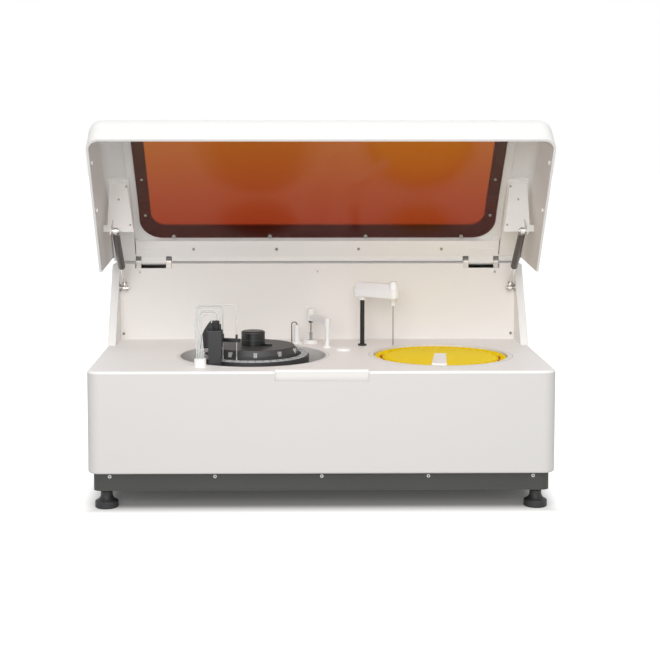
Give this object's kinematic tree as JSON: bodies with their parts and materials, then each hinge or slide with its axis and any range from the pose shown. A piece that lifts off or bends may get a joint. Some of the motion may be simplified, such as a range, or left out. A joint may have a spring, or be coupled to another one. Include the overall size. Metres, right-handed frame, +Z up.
{
  "type": "benchtop chemistry analyzer",
  "caption": "Benchtop box on levelling feet with a hinged tinted hood, turning reaction disc and reagent rack, sampling arm, stirrer and wash head.",
  "frame": {"origin": "centre of the bounding box on the bench plane under the feet", "axes": "+X to the right along the width, +Y away from the front, +Z up"},
  "size_m": [0.866, 0.62, 0.7142],
  "materials": {
    "white_paint": "fine satin powder coat",
    "white_plastic": "satin moulded",
    "grey_plastic": "satin moulded",
    "dark_base": "textured powder coat",
    "black_plastic": "fine textured",
    "dark_rubber": "matt",
    "amber_pane": "tinted clear",
    "clear_cuvette": "clear moulded",
    "clear_tube": "clear flexible tubing",
    "yellow_plastic": "gloss moulded",
    "brushed_steel": "brushed",
    "bright_steel": "polished",
    "zinc_steel": "zinc plated",
    "anodised": "anodised",
    "black_anodised": "black anodised",
    "dark_steel": "dark painted tube",
    "green_board": "solder mask"
  },
  "bodies": {
    "case": {"base_frame": "dark_base", "body_cover": "white_paint", "side_panels": "white_paint", "rear_wall": "white_paint", "rear_cover": "white_paint", "case_screws": "zinc_steel", "hinge_brackets": "zinc_steel", "strut_studs": "zinc_steel", "reaction_tub": "white_plastic", "reagent_tub": "white_plastic", "disc_motors": "anodised", "tub_pillars": "anodised", "lift_drives": "anodised", "post_collars": "white_plastic", "wash_cups": "white_plastic", "drain_post": "white_plastic", "tube_gland": "black_plastic", "fan_frame": "black_plastic", "power_inlet": "black_plastic", "fluid_ports": "grey_plastic", "power_supply": "zinc_steel", "main_board": "green_board", "pumps": "anodised", "lamp_house": "anodised"},
    "lid": {"lid_shell": "white_plastic", "window_gasket": "dark_rubber", "lid_window": "amber_pane", "lid_screws": "zinc_steel", "lid_rail": "white_paint", "hinge_leaves": "white_paint", "lid_trays": "white_paint", "spring_brackets": "white_paint"},
    "left_rod": {"gas_rod_left": "bright_steel"},
    "left_tube": {"gas_tube_left": "dark_steel"},
    "right_rod": {"gas_rod_right": "bright_steel"},
    "right_tube": {"gas_tube_right": "dark_steel"},
    "reaction_turntable": {"reaction_disc": "black_plastic", "cuvette_ring": "clear_cuvette", "reaction_spindle": "brushed_steel"},
    "knob": {"disc_knob": "black_plastic"},
    "reagent_turntable": {"reagent_rack": "yellow_plastic", "rack_handle": "white_plastic", "reagent_spindle": "brushed_steel"},
    "probe_lift": {"probe_carriage": "anodised"},
    "probe_turn": {"probe_column": "black_anodised", "probe_arm": "white_plastic", "probe_needle": "brushed_steel"},
    "mixer_lift": {"mixer_carriage": "anodised"},
    "mixer_turn": {"mixer_arm": "white_plastic"},
    "paddle": {"mixer_paddle": "black_plastic"},
    "wash_lift": {"wash_head": "black_plastic", "wash_needles": "brushed_steel", "wash_tubes": "clear_tube"},
    "syringe": {"syringe_plunger": "brushed_steel"},
    "fan": {"fan_rotor": "black_plastic"},
    "rocker": {"power_switch": "black_plastic"},
    "front_left_foot": {"foot_front_left": "dark_rubber"},
    "front_right_foot": {"foot_front_right": "dark_rubber"},
    "rear_left_foot": {"foot_rear_left": "dark_rubber"},
    "rear_right_foot": {"foot_rear_right": "dark_rubber"}
  },
  "joints": [
    {"name": "lid_hinge", "type": "hinge", "parent": "case", "child": "lid", "pos_m": [0, 0.111, 0.4205], "axis": [1, 0, 0], "range_deg": [0, 55.5]},
    {"name": "left_rod_swing", "type": "hinge", "parent": "case", "child": "left_rod", "pos_m": [-0.402, 0.087, 0.368], "axis": [1, 0, 0], "range_deg": [0, 60.2]},
    {"name": "left_tube_slide", "type": "slide", "parent": "left_rod", "child": "left_tube", "axis": [0, -0.7728, 0.6346], "range_m": [-0.0522, 0]},
    {"name": "right_rod_swing", "type": "hinge", "parent": "case", "child": "right_rod", "pos_m": [0.402, 0.087, 0.368], "axis": [1, 0, 0], "range_deg": [0, 60.2]},
    {"name": "right_tube_slide", "type": "slide", "parent": "right_rod", "child": "right_tube", "axis": [0, -0.7728, 0.6346], "range_m": [-0.0522, 0]},
    {"name": "reaction_disc_turn", "type": "hinge", "parent": "case", "child": "reaction_turntable", "pos_m": [-0.13, -0.118, 0.2225], "axis": [0, 0, 1], "continuous": true},
    {"name": "knob_turn", "type": "hinge", "parent": "reaction_turntable", "child": "knob", "pos_m": [-0.13, -0.118, 0.2885], "axis": [0, 0, 1], "range_deg": [0, 60]},
    {"name": "reagent_rack_turn", "type": "hinge", "parent": "case", "child": "reagent_turntable", "pos_m": [0.236, -0.118, 0.1785], "axis": [0, 0, 1], "continuous": true},
    {"name": "probe_lift_slide", "type": "slide", "parent": "case", "child": "probe_lift", "axis": [0, 0, 1], "range_m": [-0.05, 0]},
    {"name": "probe_swing", "type": "hinge", "parent": "probe_lift", "child": "probe_turn", "pos_m": [0.0894, 0.004, 0.3735], "axis": [0, 0, 1], "range_deg": [-87.1, 15]},
    {"name": "mixer_lift_slide", "type": "slide", "parent": "case", "child": "mixer_lift", "axis": [0, 0, 1], "range_m": [-0.025, 0]},
    {"name": "mixer_swing", "type": "hinge", "parent": "mixer_lift", "child": "mixer_turn", "pos_m": [0.017, -0.025, 0.3115], "axis": [0, 0, 1], "range_deg": [0, 92]},
    {"name": "paddle_spin", "type": "hinge", "parent": "mixer_turn", "child": "paddle", "pos_m": [-0.015, 0.03961, 0.3085], "axis": [0, 0, 1], "continuous": true},
    {"name": "wash_lift_slide", "type": "slide", "parent": "case", "child": "wash_lift", "axis": [0, 0, 1], "range_m": [-0.028, 0], "deforming": ["wash_tubes"]},
    {"name": "syringe_slide", "type": "slide", "parent": "case", "child": "syringe", "axis": [0, 0, 1], "range_m": [0, 0.03]},
    {"name": "fan_spin", "type": "hinge", "parent": "case", "child": "fan", "pos_m": [-0.16, 0.2935, 0.1685], "axis": [0, 1, 0], "continuous": true},
    {"name": "rocker_tilt", "type": "hinge", "parent": "case", "child": "rocker", "pos_m": [0.275, 0.3, 0.1135], "axis": [1, 0, 0], "range_deg": [-16, 0]},
    {"name": "front_left_foot_turn", "type": "hinge", "parent": "case", "child": "front_left_foot", "pos_m": [-0.398, -0.276, 0.02], "axis": [0, 0, 1], "continuous": true},
    {"name": "front_right_foot_turn", "type": "hinge", "parent": "case", "child": "front_right_foot", "pos_m": [0.398, -0.276, 0.02], "axis": [0, 0, 1], "continuous": true},
    {"name": "rear_left_foot_turn", "type": "hinge", "parent": "case", "child": "rear_left_foot", "pos_m": [-0.398, 0.276, 0.02], "axis": [0, 0, 1], "continuous": true},
    {"name": "rear_right_foot_turn", "type": "hinge", "parent": "case", "child": "rear_right_foot", "pos_m": [0.398, 0.276, 0.02], "axis": [0, 0, 1], "continuous": true}
  ],
  "couplings": [
    {"joint": "left_rod_swing", "follows": "lid_hinge", "ratio": 1.0808},
    {"joint": "left_tube_slide", "follows": "lid_hinge", "m_per_rad": -0.053603},
    {"joint": "right_rod_swing", "follows": "lid_hinge", "ratio": 1.0808},
    {"joint": "right_tube_slide", "follows": "lid_hinge", "m_per_rad": -0.053603}
  ]
}
